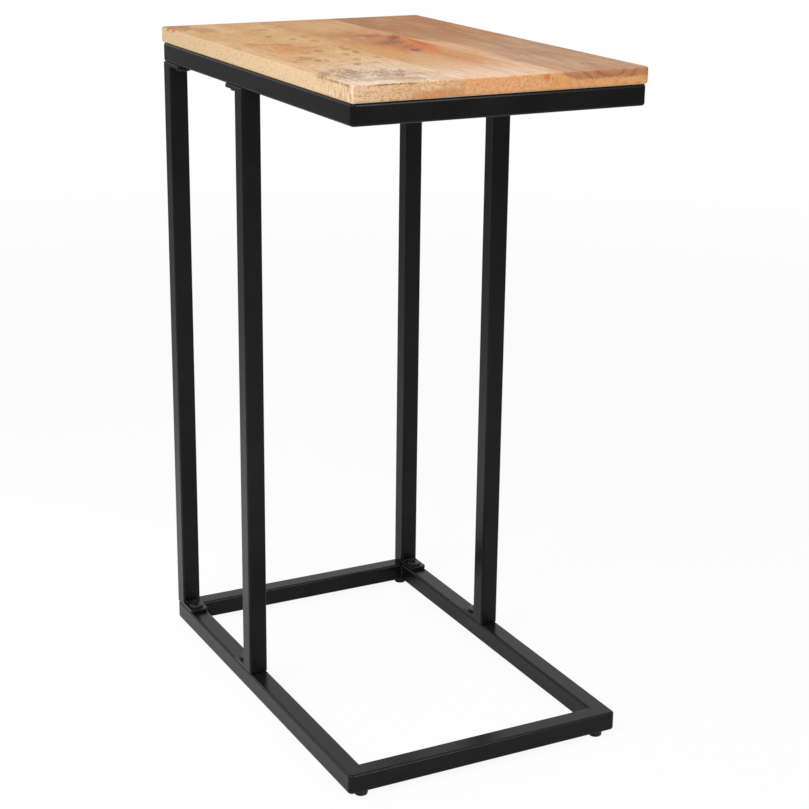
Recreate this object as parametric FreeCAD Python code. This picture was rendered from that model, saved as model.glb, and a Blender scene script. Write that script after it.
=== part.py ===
"""C-shaped side table: a mango-wood top on a bolted frame of square steel tube.

Millimetres. The origin is on the floor, under the middle of the top. X is the width, +Y points to the
side that carries the rear legs, -Y to the open mouth of the C, and Z is up.
"""

import os

import FreeCAD
import Part

# --- driving dimensions -------------------------------------------------------------------------------

# Frames and tube
FRAME_WIDTH = 302.0        # outside, along X
FRAME_DEPTH = 457.0        # outside, along Y
TUBE = 20.0                # square tube, outside
WALL = 1.2                 # wall of the tube
TUBE_EDGE = 2.5            # outside radius of the tube's long edges
FRAME_CORNER = 4.5         # ground radius of the frames' upright corners
LEG_SPACE = 621.0          # clear height between the base frame and the top frame
FRONT_LEG_SETBACK = 242.0  # from the frames' front face to the front legs' front face

# Top
TOP_THICKNESS = 16.0
TOP_OVERHANG = 1.5         # how far the top stands past the frame, all round
BOARD_WIDTHS = {"left": 110.0, "middle": 87.0, "right": 108.0}
TOP_CORNER = 5.0           # radius of the top's upright corners
TOP_UPPER_EDGE = 2.0
TOP_LOWER_EDGE = 3.0

# End plates, which close the legs and stick out of them as bolting tabs
PLATE = 4.0                # thickness
TAB_LENGTH = 25.0          # how far a tab stands out of its leg
TAB_CORNER = 4.0
TAB_LOWER_EDGE = 1.0       # edge radius on the side of the rail
TAB_UPPER_EDGE = 0.6
BOLT_FROM_LEG = 13.0       # from the leg's face to the bolt's axis
BOLT_HOLE_R = 3.3

# Leg bolts: M6, flat round head, hexagon socket
THREAD_R = 3.0             # M6
BOLT_HEAD_R = 7.5
BOLT_HEAD = 2.5
BOLT_HEAD_EDGE = 1.0
BOLT_LENGTH = 12.0         # under the head
BOLT_TIP = 0.6
SOCKET_FLATS = 4.0
SOCKET_DEPTH = 1.8

# Blind rivet nuts, M6
NUT_R = 4.5
NUT_LENGTH = 13.0
NUT_BULGE_R = 6.0
NUT_BULGE = 2.2
NUT_FLANGE_R = 5.5         # the feet's nuts have a flange, the legs' nuts are flush
NUT_FLANGE = 0.8

# Fixing plates inside the top frame, and the wood screws through them
FIXING_REACH = 20.0        # how far a plate stands into the frame
FIXING_WIDTH = 24.0
FIXING = 3.0
FIXING_CORNER = 5.0
FIXING_SIDE_Y = 150.0      # the side plates stand this far in front of and behind the middle
SLOT_R = 2.5
SLOT_LENGTH = 9.0          # end to end
SCREW_FROM_RAIL = 12.0
SCREW_R = 2.0
SCREW_HEAD_R = 4.0
SCREW_HEAD = 2.4
SCREW_HEAD_EDGE = 1.2
SCREW_IN_WOOD = 11.0
SCREW_POINT = 3.0
CROSS_WIDTH = 1.0
CROSS_LENGTH = 4.0
CROSS_DEPTH = 1.4

# Levelling feet
FOOT_GAP = 6.5             # from the floor to the base frame
FOOT_FROM_SIDE = 17.0      # from the frame's side face to the foot's axis
FOOT_TOP_R = 7.0
FOOT_BOTTOM_R = 6.5
FOOT_EDGE = 1.2
STUD_CLEARANCE = 0.05      # all round, in the nut and in the foot
STUD_FLOOR = 2.2           # the stud ends this high inside the foot
STUD_TOP = 22.0
STUD_TIP = 0.6

# Welds
FRAME_WELD = 4.0           # leg length of the beads in the frames' inner corners
LEG_WELD = 3.5
LEG_WELD_LENGTH = 16.0
FIXING_WELD = 2.5

# --- heights and places worked out from them ----------------------------------------------------------

STUD_R = THREAD_R - STUD_CLEARANCE
BASE_BOTTOM = FOOT_GAP
BASE_TOP = BASE_BOTTOM + TUBE
UPPER_BOTTOM = BASE_TOP + LEG_SPACE
UPPER_TOP = UPPER_BOTTOM + TUBE

HALF_WIDTH = FRAME_WIDTH / 2
HALF_DEPTH = FRAME_DEPTH / 2
RAIL_X = HALF_WIDTH - TUBE / 2
RAIL_Y = HALF_DEPTH - TUBE / 2
SIDES = {"left": -1, "right": 1}

# A leg's middle along Y, and the way its tabs point
LEG_ROWS = {
    "rear": (RAIL_Y, -1),
    "front": (-HALF_DEPTH + FRONT_LEG_SETBACK + TUBE / 2, 1),
}

FOOT_X = HALF_WIDTH - FOOT_FROM_SIDE
FOOT_PLACES = {
    f"{row}_{side}": (way * FOOT_X, RAIL_Y if row == "rear" else -RAIL_Y)
    for row in LEG_ROWS
    for side, way in SIDES.items()
}

TOP_WIDTH = FRAME_WIDTH + 2 * TOP_OVERHANG
TOP_DEPTH = FRAME_DEPTH + 2 * TOP_OVERHANG

UP = FreeCAD.Vector(0, 0, 1)


def at(x, y, z):
    return FreeCAD.Vector(x, y, z)


def block(width, depth, height, bottom):
    """A box centred on the Z axis, standing on the height bottom."""
    return Part.makeBox(width, depth, height, at(-width / 2, -depth / 2, bottom))


def prism(points, bottom, height):
    """An upright prism over a polygon of (x, y) points."""
    corners = [at(x, y, bottom) for x, y in points]
    return Part.Face(Part.makePolygon(corners + corners[:1])).extrude(UP * height)


def upright(edge):
    return abs(edge.tangentAt(edge.FirstParameter).z) > 0.99


def on_level(edge, z):
    box = edge.BoundBox
    return abs(box.ZMin - z) < 1e-6 and abs(box.ZMax - z) < 1e-6


def turned_profile(points):
    """A solid of revolution about the Z axis from (radius, height) points."""
    corners = [at(r, 0, z) for r, z in points]
    face = Part.Face(Part.makePolygon(corners + corners[:1]))
    return face.revolve(at(0, 0, 0), UP, 360)


def mirrored(shape, level):
    """The shape turned upside down about the height level."""
    flipped = shape.copy()
    flipped.rotate(at(0, 0, level), at(1, 0, 0), 180)
    return flipped


# --- frames -------------------------------------------------------------------------------------------


def rounded_ring(shrink, bottom):
    """The band of the frame seen from above, taken in by shrink on every face, with rounded edges."""
    height = TUBE - 2 * shrink
    base = bottom + shrink
    outside = block(FRAME_WIDTH - 2 * shrink, FRAME_DEPTH - 2 * shrink, height, base)
    corners = [edge for edge in outside.Edges if upright(edge)]
    outside = outside.makeFillet(FRAME_CORNER - shrink, corners)
    window = 2 * (TUBE - shrink)
    ring = outside.cut(block(FRAME_WIDTH - window, FRAME_DEPTH - window, height, base))
    rims = [edge for edge in ring.Edges if not upright(edge)]
    return ring.makeFillet(TUBE_EDGE - shrink, rims)


def mitre_wedges(bottom):
    """For each rail, the space between the 45 degree mitre planes at its ends."""
    spare = 10.0
    reach = TUBE + spare
    wedges = {}
    for side, way in SIDES.items():
        outer, inner = way * (HALF_WIDTH + spare), way * (HALF_WIDTH - reach)
        wedges[side] = [
            (outer, -HALF_DEPTH - spare), (inner, -HALF_DEPTH + reach),
            (inner, HALF_DEPTH - reach), (outer, HALF_DEPTH + spare),
        ]
    for side, way in {"front": -1, "rear": 1}.items():
        outer, inner = way * (HALF_DEPTH + spare), way * (HALF_DEPTH - reach)
        wedges[side] = [
            (-HALF_WIDTH - spare, outer), (-HALF_WIDTH + reach, inner),
            (HALF_WIDTH - reach, inner), (HALF_WIDTH + spare, outer),
        ]
    return {side: prism(points, bottom - 1, TUBE + 2) for side, points in wedges.items()}


def nut_hole(x, y, z):
    """A hole for a rivet nut through the wall of a rail whose face is at the height z."""
    return Part.makeCylinder(NUT_R, 2 * WALL, at(x, y, z - WALL), UP)


def frame_rails(bottom, bolt_face, feet):
    """The four mitred tubes of one frame, drilled for its leg bolts and, below, for the feet."""
    ring = rounded_ring(0, bottom).cut(rounded_ring(WALL, bottom))
    for x, y in leg_bolt_places():
        ring = ring.cut(nut_hole(x, y, bolt_face))
    for x, y in feet:
        ring = ring.cut(nut_hole(x, y, bottom))
    return {side: ring.common(wedge) for side, wedge in mitre_wedges(bottom).items()}


def corner_bead(size, height):
    """An upright concave fillet weld in the corner at the origin, filling towards +X and +Y."""
    bead = prism([(0, 0), (size, 0), (size, size), (0, size)], 0, height)
    return bead.cut(Part.makeCylinder(size * 0.92, height, at(size, size, 0), UP))


def frame_welds(bottom):
    """The beads in the four inner corners of a frame."""
    beads = []
    height = TUBE - 2 * TUBE_EDGE
    for x_way, y_way, turn in ((-1, -1, 0), (1, -1, 90), (1, 1, 180), (-1, 1, 270)):
        bead = corner_bead(FRAME_WELD, height)
        bead.rotate(at(0, 0, 0), UP, turn)
        bead.translate(at(x_way * (HALF_WIDTH - TUBE), y_way * (HALF_DEPTH - TUBE), bottom + TUBE_EDGE))
        beads.append(bead)
    return Part.makeCompound(beads)


# --- legs ---------------------------------------------------------------------------------------------


def leg_bolt_places():
    """Every leg bolt's x and y, the same in both frames."""
    return [
        (way * RAIL_X, y + tab_way * (TUBE / 2 + BOLT_FROM_LEG))
        for y, tab_way in LEG_ROWS.values()
        for way in SIDES.values()
    ]


def square_bar(size, edge, length, bottom):
    bar = block(size, size, length, bottom)
    return bar.makeFillet(edge, [e for e in bar.Edges if upright(e)])


def leg_tube():
    bottom, length = BASE_TOP + PLATE, LEG_SPACE - 2 * PLATE
    outside = square_bar(TUBE, TUBE_EDGE, length, bottom)
    return outside.cut(square_bar(TUBE - 2 * WALL, TUBE_EDGE - WALL, length, bottom))


def end_plate():
    """A lower end plate: the leg stands over the origin, and the tab points along +Y."""
    half, end = TUBE / 2, TUBE / 2 + TAB_LENGTH
    plate = Part.makeBox(TUBE, TUBE + TAB_LENGTH, PLATE, at(-half, -half, 0))
    plate = plate.makeFillet(TAB_CORNER, [e for e in plate.Edges if upright(e) and e.BoundBox.YMin > 0])
    plate = plate.makeFillet(TUBE_EDGE, [e for e in plate.Edges if upright(e) and e.BoundBox.YMax < 0])
    plate = plate.makeFillet(TAB_LOWER_EDGE, [e for e in plate.Edges if on_level(e, 0)])

    # The upper edge is rounded only where the tab is free of the leg.
    tab = Part.makeBox(TUBE, end, PLATE, at(-half, 0, 0))
    tab = tab.makeFillet(TAB_CORNER, [e for e in tab.Edges if upright(e) and e.BoundBox.YMin > 0])
    free = [e for e in tab.Edges if on_level(e, PLATE) and e.BoundBox.YMax > 1]
    tab = tab.makeFillet(TAB_UPPER_EDGE, free)
    under_leg = Part.makeBox(TUBE, TUBE, PLATE, at(-half, -half, 0))
    plate = plate.common(tab.fuse(under_leg))

    hole = Part.makeCylinder(BOLT_HOLE_R, PLATE, at(0, half + BOLT_FROM_LEG, 0), UP)
    return plate.cut(hole)


def leg_weld():
    """A fillet weld between a leg and its lower tab: the leg stands over the origin."""
    bead = corner_bead(LEG_WELD, LEG_WELD_LENGTH)
    bead.rotate(at(0, 0, 0), at(0, 1, 0), -90)
    bead.translate(at(LEG_WELD_LENGTH / 2, TUBE / 2, PLATE))
    return bead


def at_leg_foot(shape, way, row):
    """Moves a shape made over the origin to the foot of one leg."""
    y, tab_way = LEG_ROWS[row]
    placed = shape.copy()
    if tab_way < 0:
        placed.rotate(at(0, 0, 0), UP, 180)
    placed.translate(at(way * RAIL_X, y, BASE_TOP))
    return placed


def at_leg_head(shape, way, row):
    """The same at the leg's head, upside down."""
    middle = (BASE_TOP + UPPER_BOTTOM) / 2
    y = LEG_ROWS[row][0]
    head = at_leg_foot(shape, way, row)
    head.rotate(at(way * RAIL_X, y, middle), at(0, 1, 0), 180)
    return head


# --- fasteners ----------------------------------------------------------------------------------------


def leg_bolt():
    """A bolt standing on the origin, its head up and its thread down."""
    head = Part.makeCylinder(BOLT_HEAD_R, BOLT_HEAD)
    head = head.makeFillet(BOLT_HEAD_EDGE, [e for e in head.Edges if on_level(e, BOLT_HEAD)])
    shank = turned_profile([
        (0, -BOLT_LENGTH), (THREAD_R - BOLT_TIP, -BOLT_LENGTH),
        (THREAD_R, -BOLT_LENGTH + BOLT_TIP), (THREAD_R, 0), (0, 0),
    ])
    across_corners = SOCKET_FLATS / 3 ** 0.5
    hexagon = [at(across_corners, 0, BOLT_HEAD - SOCKET_DEPTH)]
    for _ in range(6):
        corner = FreeCAD.Rotation(UP, 60).multVec(hexagon[-1])
        hexagon.append(corner)
    hexagon[-1] = hexagon[0]
    socket = Part.Face(Part.makePolygon(hexagon)).extrude(UP * SOCKET_DEPTH)
    return head.fuse(shank).removeSplitter().cut(socket)


def rivet_nut(flange):
    """A rivet nut hanging down from a rail's face at the origin, set in the wall."""
    points = [(THREAD_R, -NUT_LENGTH), (NUT_R, -NUT_LENGTH), (NUT_R, -WALL - NUT_BULGE)]
    points += [(NUT_BULGE_R, -WALL - NUT_BULGE / 2), (NUT_BULGE_R, -WALL), (NUT_R, -WALL), (NUT_R, 0)]
    if flange:
        points += [(NUT_FLANGE_R, 0), (NUT_FLANGE_R, flange)]
    points += [(THREAD_R, flange)]
    return turned_profile(points)


def at_leg_bolts(shape, level, upper):
    """Four copies on one frame's leg bolt axes; on the upper frame they hang upside down."""
    copies = []
    for x, y in leg_bolt_places():
        copy = mirrored(shape, 0) if upper else shape.copy()
        copy.translate(at(x, y, level))
        copies.append(copy)
    return Part.makeCompound(copies)


def foot_nuts():
    nuts = []
    for x, y in FOOT_PLACES.values():
        nut = mirrored(rivet_nut(NUT_FLANGE), 0)
        nut.translate(at(x, y, BASE_BOTTOM))
        nuts.append(nut)
    return Part.makeCompound(nuts)


# --- fixing plates and wood screws --------------------------------------------------------------------


def fixing_plate():
    """A plate on a rail's inner face at the origin, standing out along +X, its top at z = 0."""
    half = FIXING_WIDTH / 2
    plate = Part.makeBox(FIXING_REACH, FIXING_WIDTH, FIXING, at(0, -half, -FIXING))
    free = [e for e in plate.Edges if upright(e) and e.BoundBox.XMin > 1]
    plate = plate.makeFillet(FIXING_CORNER, free)
    straight = SLOT_LENGTH - 2 * SLOT_R
    slot = Part.makeBox(straight, 2 * SLOT_R, FIXING, at(SCREW_FROM_RAIL - straight / 2, -SLOT_R, -FIXING))
    for end in (-straight / 2, straight / 2):
        slot = slot.fuse(Part.makeCylinder(SLOT_R, FIXING, at(SCREW_FROM_RAIL + end, 0, -FIXING), UP))
    return plate.cut(slot)


def fixing_weld():
    """The bead under a fixing plate, in the corner that it makes with the rail."""
    bead = corner_bead(FIXING_WELD, FIXING_WIDTH - 4)
    bead.rotate(at(0, 0, 0), at(1, 0, 0), 90)
    bead = mirrored(bead, 0)
    bead.translate(at(0, -(FIXING_WIDTH - 4) / 2, -FIXING))
    return bead


def wood_screw():
    """A screw on a fixing plate's axis: its head under the plate, its thread up in the wood."""
    cone_top = SCREW_IN_WOOD
    screw = turned_profile([
        (0, -FIXING - SCREW_HEAD), (SCREW_HEAD_R - SCREW_HEAD_EDGE, -FIXING - SCREW_HEAD),
        (SCREW_HEAD_R, -FIXING - SCREW_HEAD + SCREW_HEAD_EDGE), (SCREW_HEAD_R, -FIXING),
        (SCREW_R, -FIXING), (SCREW_R, cone_top - SCREW_POINT), (0, cone_top),
    ])
    floor = -FIXING - SCREW_HEAD
    for width, depth in ((CROSS_LENGTH, CROSS_WIDTH), (CROSS_WIDTH, CROSS_LENGTH)):
        screw = screw.cut(block(width, depth, CROSS_DEPTH, floor))
    screw.translate(at(SCREW_FROM_RAIL, 0, 0))
    return screw


FIXING_PLACES = {
    "left_front": (-HALF_WIDTH + TUBE, -FIXING_SIDE_Y, 0),
    "left_rear": (-HALF_WIDTH + TUBE, FIXING_SIDE_Y, 0),
    "right_front": (HALF_WIDTH - TUBE, -FIXING_SIDE_Y, 180),
    "right_rear": (HALF_WIDTH - TUBE, FIXING_SIDE_Y, 180),
    "front": (0, -HALF_DEPTH + TUBE, 90),
    "rear": (0, HALF_DEPTH - TUBE, 270),
}


def at_fixing(shape, place):
    x, y, turn = FIXING_PLACES[place]
    placed = shape.copy()
    placed.rotate(at(0, 0, 0), UP, turn)
    placed.translate(at(x, y, UPPER_TOP))
    return placed


# --- top ----------------------------------------------------------------------------------------------


def whole_top():
    """The glued-up panel, with its screw holes, before it is told apart into boards."""
    panel = block(TOP_WIDTH, TOP_DEPTH, TOP_THICKNESS, UPPER_TOP)
    panel = panel.makeFillet(TOP_CORNER, [e for e in panel.Edges if upright(e)])
    panel = panel.makeFillet(TOP_LOWER_EDGE, [e for e in panel.Edges if on_level(e, UPPER_TOP)])
    upper = [e for e in panel.Edges if on_level(e, UPPER_TOP + TOP_THICKNESS)]
    panel = panel.makeFillet(TOP_UPPER_EDGE, upper)
    for place in FIXING_PLACES:
        panel = panel.cut(at_fixing(wood_screw(), place))
    return panel


def boards():
    panel = whole_top()
    pieces = {}
    left = -TOP_WIDTH / 2
    for name, width in BOARD_WIDTHS.items():
        cutter = Part.makeBox(width, TOP_DEPTH, TOP_THICKNESS, at(left, -TOP_DEPTH / 2, UPPER_TOP))
        pieces[name] = panel.common(cutter)
        left += width
    return pieces


# --- levelling feet -----------------------------------------------------------------------------------


def foot_pad():
    top = BASE_BOTTOM - NUT_FLANGE
    bore = STUD_R + STUD_CLEARANCE
    pad = turned_profile([
        (0, 0), (FOOT_BOTTOM_R, 0), (FOOT_TOP_R, top), (bore, top), (bore, STUD_FLOOR), (0, STUD_FLOOR),
    ])
    return pad.makeFillet(FOOT_EDGE, [e for e in pad.Edges if on_level(e, 0)])


def foot_stud():
    return turned_profile([
        (0, STUD_FLOOR), (STUD_R, STUD_FLOOR), (STUD_R, STUD_TOP - STUD_TIP),
        (STUD_R - STUD_TIP, STUD_TOP), (0, STUD_TOP),
    ])


# --- the table ----------------------------------------------------------------------------------------


def table():
    nodes = {f"board_{name}": shape for name, shape in boards().items()}

    base = frame_rails(BASE_BOTTOM, BASE_TOP, FOOT_PLACES.values())
    upper = frame_rails(UPPER_BOTTOM, UPPER_BOTTOM, [])
    for side in base:
        nodes[f"base_rail_{side}"] = base[side]
        nodes[f"top_rail_{side}"] = upper[side]
    nodes["base_frame_welds"] = frame_welds(BASE_BOTTOM)
    nodes["top_frame_welds"] = frame_welds(UPPER_BOTTOM)

    tube, plate = leg_tube(), end_plate()
    weld = leg_weld()
    leg_beads = []
    for row, (y, _) in LEG_ROWS.items():
        for side, way in SIDES.items():
            leg = tube.copy()
            leg.translate(at(way * RAIL_X, y, 0))
            nodes[f"leg_{row}_{side}"] = leg
            nodes[f"lower_plate_{row}_{side}"] = at_leg_foot(plate, way, row)
            nodes[f"upper_plate_{row}_{side}"] = at_leg_head(plate, way, row)
            leg_beads += [at_leg_foot(weld, way, row), at_leg_head(weld, way, row)]
    nodes["leg_welds"] = Part.makeCompound(leg_beads)

    bolt, nut = leg_bolt(), rivet_nut(flange=0)
    nodes["leg_bolts_lower"] = at_leg_bolts(bolt, BASE_TOP + PLATE, upper=False)
    nodes["leg_bolts_upper"] = at_leg_bolts(bolt, UPPER_BOTTOM - PLATE, upper=True)
    nodes["leg_nuts_lower"] = at_leg_bolts(nut, BASE_TOP, upper=False)
    nodes["leg_nuts_upper"] = at_leg_bolts(nut, UPPER_BOTTOM, upper=True)

    for place in FIXING_PLACES:
        nodes[f"fixing_plate_{place}"] = at_fixing(fixing_plate(), place)
    nodes["fixing_welds"] = Part.makeCompound([at_fixing(fixing_weld(), place) for place in FIXING_PLACES])
    nodes["top_screws"] = Part.makeCompound([at_fixing(wood_screw(), place) for place in FIXING_PLACES])

    nodes["foot_nuts"] = foot_nuts()
    for place, (x, y) in FOOT_PLACES.items():
        for name, shape in (("foot_stud", foot_stud()), ("foot_pad", foot_pad())):
            shape.translate(at(x, y, 0))
            nodes[f"{name}_{place}"] = shape
    return nodes


os.makedirs("parts", exist_ok=True)
for name, shape in table().items():
    shape.exportStep(f"parts/{name}.step")
    print(f"{name:28s} solids {len(shape.Solids)}  volume {shape.Volume:10.1f}  valid {shape.isValid()}")
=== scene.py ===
# %% [markdown]
# # A C-shaped side table
#
# The table is a small glued-up mango-wood top on a frame of square steel tube. It is open at the
# front, so that the base slides under a sofa and the top reaches over the seat.
#
# The construction is already there: every board, tube, bolt and foot comes in as a node of the packed
# model, in metres, standing on the floor with the width along X and the open mouth towards -Y. What is
# left to do is the looks: the wood, the powder coat, the weld beads, the screw threads and the light.

# %% The frame
import math

import bpy
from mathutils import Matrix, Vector


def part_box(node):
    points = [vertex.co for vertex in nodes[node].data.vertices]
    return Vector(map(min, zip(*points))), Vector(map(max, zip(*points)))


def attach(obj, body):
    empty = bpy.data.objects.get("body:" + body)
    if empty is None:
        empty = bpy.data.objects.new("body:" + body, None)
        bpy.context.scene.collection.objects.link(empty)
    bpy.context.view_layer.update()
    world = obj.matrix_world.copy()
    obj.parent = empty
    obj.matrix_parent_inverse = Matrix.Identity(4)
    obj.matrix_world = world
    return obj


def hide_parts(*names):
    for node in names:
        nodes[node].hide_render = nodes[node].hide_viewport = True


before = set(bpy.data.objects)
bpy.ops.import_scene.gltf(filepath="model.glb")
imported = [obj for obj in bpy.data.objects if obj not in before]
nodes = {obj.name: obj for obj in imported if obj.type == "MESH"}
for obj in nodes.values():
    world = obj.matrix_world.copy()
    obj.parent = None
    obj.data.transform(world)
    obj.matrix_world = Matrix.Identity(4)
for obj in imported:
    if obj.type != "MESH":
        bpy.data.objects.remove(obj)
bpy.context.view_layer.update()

MM = 0.001

# %% [markdown]
# ## Measuring instead of guessing
#
# Nothing below repeats a size that the frame already knows. The top's corner, the tube's width and
# the height of a rail are all read from the boxes of the nodes, so that a pattern or an added piece
# stays in place when the construction changes.

# %% The sizes that the looks depend on
top_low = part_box("board_left")[0]
top_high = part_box("board_right")[1]
rail_low, rail_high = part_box("base_rail_front")
TUBE = rail_high.z - rail_low.z
TUBE_EDGE = 2.5 * MM    # outside radius of a tube's long edges
TOP_LENGTH = (top_high.y - top_low.y) / MM
TOP_THICKNESS = (top_high.z - top_low.z) / MM
print(f"top {(top_high.x - top_low.x) / MM:.0f} x {TOP_LENGTH:.0f} mm,"
      f" {TOP_THICKNESS:.0f} mm thick; tube {TUBE / MM:.0f} mm")

# %% [markdown]
# ## Writing shader maths as sums
#
# A finish is mostly arithmetic: one mask times another, one minus a mask, a tone raised to a power.
# Adding each Math node by hand hides that, so a value in a node tree is wrapped in a small class whose
# operators add the nodes. Numbers go through Math, and vectors through Vector Math. Every other node
# comes from one method, which takes the node's type, its settings and what its sockets hold. The same
# two classes serve materials and Geometry Nodes.


# %% A value in a node tree
class Value:
    """A number, vector, colour or geometry on its way through a node tree."""

    def __init__(self, recipe, socket):
        self.recipe = recipe
        self.socket = socket

    @property
    def kind(self):
        return self.socket.type

    def _sum(self, operation, first, second):
        """A Math node, or a Vector Math node where one of the two is a vector."""
        if "VECTOR" not in {getattr(v, "kind", None) for v in (first, second)}:
            return self.recipe.node("ShaderNodeMath", {"operation": operation}, {0: first, 1: second})
        both = [(v, v, v) if isinstance(v, (int, float)) else v for v in (first, second)]
        return self.recipe.node("ShaderNodeVectorMath", {"operation": operation}, {0: both[0], 1: both[1]})

    def __add__(self, other):
        return self._sum("ADD", self, other)

    def __radd__(self, other):
        return self._sum("ADD", other, self)

    def __sub__(self, other):
        return self._sum("SUBTRACT", self, other)

    def __rsub__(self, other):
        return self._sum("SUBTRACT", other, self)

    def __mul__(self, other):
        return self._sum("MULTIPLY", self, other)

    def __rmul__(self, other):
        return self._sum("MULTIPLY", other, self)

    def __truediv__(self, other):
        return self._sum("DIVIDE", self, other)

    def __rtruediv__(self, other):
        return self._sum("DIVIDE", other, self)

    def __pow__(self, other):
        return self._sum("POWER", self, other)

    def most(self, other):
        """The larger of two numbers, which joins two masks."""
        return self._sum("MAXIMUM", self, other)

    def rise(self, low, high):
        """0 below low, 1 above high, and a smooth slope between them."""
        return self.recipe.node(
            "ShaderNodeMapRange", {"interpolation_type": "SMOOTHSTEP"},
            {"Value": self, "From Min": low, "From Max": high})

    def fall(self, low, high):
        """1 below low, 0 above high, and a smooth slope between them."""
        return 1 - self.rise(low, high)

    def part(self, name):
        """One of X, Y and Z of a vector or colour."""
        return self.recipe.node("ShaderNodeSeparateXYZ", {}, {0: self}, name)

    def length(self):
        return self.recipe.node("ShaderNodeVectorMath", {"operation": "LENGTH"}, {0: self}, "Value")

    def also(self, name):
        """Another output of the node that made this value."""
        return Value(self.recipe, named(self.socket.node.outputs, name))


def named(sockets, name):
    """The enabled socket of that name or number."""
    if isinstance(name, int):
        return sockets[name]
    return next(s for s in sockets if s.enabled and s.name == name)


# %% A recipe builds a node tree
class Recipe:
    """Adds nodes to one tree."""

    def __init__(self, tree):
        self.tree = tree

    def node(self, kind, settings, sockets, output=0):
        """Adds a node from its type, its settings, and the values or links of its sockets."""
        made = self.tree.nodes.new(kind)
        for name, setting in settings.items():
            setattr(made, name, setting)
        for name, value in sockets.items():
            socket = named(made.inputs, name)
            for each in value if isinstance(value, list) else [value]:
                if isinstance(each, Value):
                    self.tree.links.new(each.socket, socket)
                else:
                    socket.default_value = each
        return Value(self, named(made.outputs, output)) if made.outputs else None

    def place(self):
        """Object coordinates, which are metres from the floor's middle on every piece."""
        return self.node("ShaderNodeTexCoord", {}, {}, "Object")

    def noise(self, where, detail=2.0, roughness=0.5):
        """Smooth noise, whose lumps are about one unit of its coordinates wide."""
        return self.node("ShaderNodeTexNoise", {}, {
            "Vector": where, "Scale": 1.0, "Detail": detail, "Roughness": roughness})

    def stretched(self, where, spacing):
        """Coordinates in which a pattern repeats after that spacing along X, Y and Z."""
        scale = tuple(1 / s for s in spacing)
        return self.node("ShaderNodeMapping", {}, {"Vector": where, "Scale": scale})

    def mix(self, share, low, high):
        """From colour low to colour high by share."""
        return self.node(
            "ShaderNodeMix", {"data_type": "RGBA"}, {"Factor": share, "A": low, "B": high}, "Result")


# %% Colours as a paint card gives them, and finishes that use them
def paint(red, green, blue):
    """Red, green and blue from 0 to 255, as the linear values that shaders work in."""
    parts = [c / 255 for c in (red, green, blue)]
    return (*[c / 12.92 if c <= 0.04 else ((c + 0.055) / 1.055) ** 2.4 for c in parts], 1.0)


def new_finish(name, **uniform):
    """A material, a recipe for its tree, and its Principled shader, which holds the uniform numbers."""
    material = bpy.data.materials.new(name)
    material.use_nodes = True
    shader = material.node_tree.nodes["Principled BSDF"]
    for socket, value in uniform.items():
        shader.inputs[socket.replace("_", " ")].default_value = value
    return material, Recipe(material.node_tree), shader


def feed(recipe, shader, **values):
    """Links what varies over a surface to the shader's sockets."""
    for socket, value in values.items():
        recipe.tree.links.new(value.socket, shader.inputs[socket.replace("_", " ")])


def bump(recipe, height, distance, strength):
    """A normal that makes the surface look as uneven as height, whose full range is that distance."""
    return recipe.node(
        "ShaderNodeBump", {}, {"Height": height, "Distance": distance, "Strength": strength}, "Normal")


def dress(node_names, material):
    """Gives CAD nodes a finish in place of their plain colour."""
    for name in node_names:
        nodes[name].data.materials.clear()
        nodes[name].data.materials.append(material)
    print(f"{material.name} on {len(node_names)} pieces,"
          f" {len(material.node_tree.nodes)} shader nodes")


print("sRGB 128 is linear", round(paint(128, 128, 128)[0], 3))

# %% [markdown]
# ## The wood, as one solid block
#
# The three boards show long grain on the top, on the sides and underneath, and end grain at the front
# and the rear. A picture laid on each face would break at the edges. A solid pattern doesn't: it is a
# block of wood in three dimensions, and the board's faces cut through it.
#
# Rings are circles round the pith, a line that runs along the board, a little askew. Fibres, streaks
# and pores are noise that is stretched along the board. On the ends the same pores show as dots, the
# rings as arcs and the rays as fine lines away from the pith.
#
# In all functions on wood, r or recipe is the recipe of a material's tree, and m holds the masks that
# this board's grain gives. Lengths are in millimetres, and a spacing goes across, along and up.

# %% Coordinates on the top, in millimetres
PLAN_ORIGIN = tuple(-v / MM for v in top_low)


def plan_of(recipe):
    """Millimetres from the top's front left lower corner."""
    return recipe.node("ShaderNodeMapping", {}, {
        "Vector": recipe.place(), "Location": PLAN_ORIGIN, "Scale": (1 / MM,) * 3})


LAZY_WAVES = (45, 150, 20)


def wandering(recipe, plan, reach):
    """The plan pushed sideways by up to reach mm in long lazy waves, as grain wanders along a board."""
    push = recipe.noise(recipe.stretched(plan, LAZY_WAVES), 2.0).also("Color")
    push = recipe.node("ShaderNodeVectorMath", {"operation": "SUBTRACT"}, {0: push, 1: (0.5,) * 3})
    sideways = {0: push, 1: (reach, 0, reach * 0.6)}
    return plan + recipe.node("ShaderNodeVectorMath", {"operation": "MULTIPLY"}, sideways)


print("the plan starts at", [round(v, 1) for v in PLAN_ORIGIN], "mm")


# %% Dashes: vessels and specks
def dashes(recipe, where, spacing, size, share):
    """Short dashes along the board, which are dots on its ends, in that share of a lattice's cells.

    spacing is the size of a cell in mm, and size the radius of a dash as a share of its cell.
    """
    cells = recipe.node(
        "ShaderNodeTexVoronoi", {}, {"Vector": recipe.stretched(where, spacing), "Scale": 1.0})
    chance = cells.also("Color").part("X")
    return cells.fall(size * 0.45, size) * chance.rise(0.98 - share, 1.02 - share)


# %% Grain: rings, streaks, fibres, pores and rays
WANDER = 26.0
END_SKIN = (0.4, 1.2)    # how deep the tone of an end reaches into the board, at full and at nothing


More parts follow.
